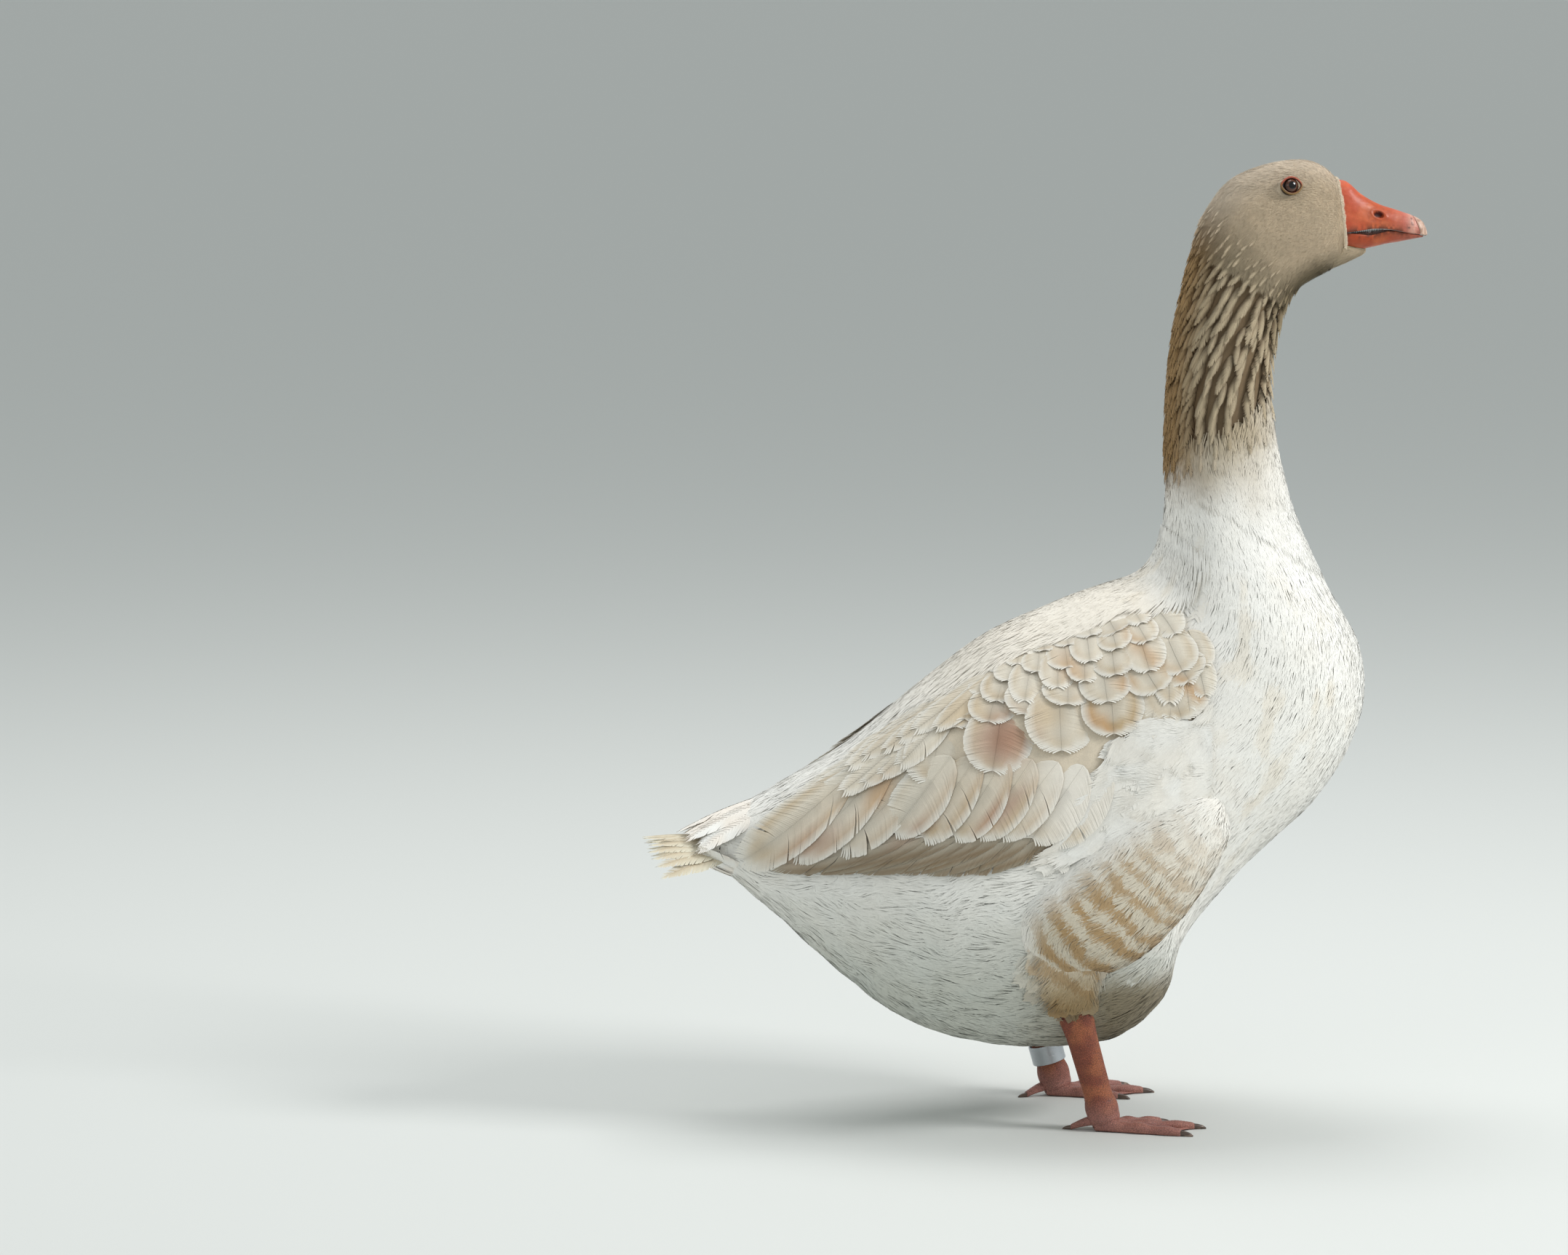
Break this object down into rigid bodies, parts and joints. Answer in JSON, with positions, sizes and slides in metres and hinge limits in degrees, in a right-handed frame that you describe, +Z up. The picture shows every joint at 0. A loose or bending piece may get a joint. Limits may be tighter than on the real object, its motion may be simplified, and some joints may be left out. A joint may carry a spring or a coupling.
{
  "type": "buff goose",
  "caption": "Standing domestic goose with folded wings, furrowed neck, webbed feet and a plain ring on one leg.",
  "frame": {"origin": "on the floor, under the middle of the bird's bounding box", "axes": "+X the way the bird faces, +Y its left, +Z up"},
  "size_m": [0.6159, 0.2684, 0.7452],
  "materials": {
    "white_plumage": "soft white feathers",
    "buff_plumage": "soft buff feathers",
    "wing_plumage": "cream and buff vaned feathers",
    "bill_skin": "orange-red, smooth, slightly moist",
    "nail_horn": "pale horn",
    "leg_skin": "reddish scaly skin",
    "foot_skin": "pinkish scaly skin",
    "claw_horn": "dull horn",
    "eye": "dark brown, wet gloss",
    "ring_metal": "plain dull metal"
  },
  "bodies": {
    "root": {"bill_lower": "bill_skin", "bill_nail": "nail_horn", "bill_upper": "bill_skin", "claw_hind_left": "claw_horn", "claw_hind_right": "claw_horn", "claw_inner_left": "claw_horn", "claw_inner_right": "claw_horn", "claw_middle_left": "claw_horn", "claw_middle_right": "claw_horn", "claw_outer_left": "claw_horn", "claw_outer_right": "claw_horn", "eye_left": "eye", "eye_right": "eye", "foot_left": "foot_skin", "foot_right": "foot_skin", "head": "buff_plumage", "leg_left": "leg_skin", "leg_right": "leg_skin", "leg_ring": "ring_metal", "neck": "buff_plumage", "tail": "wing_plumage", "thigh_left": "white_plumage", "thigh_right": "white_plumage", "torso": "white_plumage", "wing_left": "wing_plumage", "wing_right": "wing_plumage"}
  },
  "joints": []
}
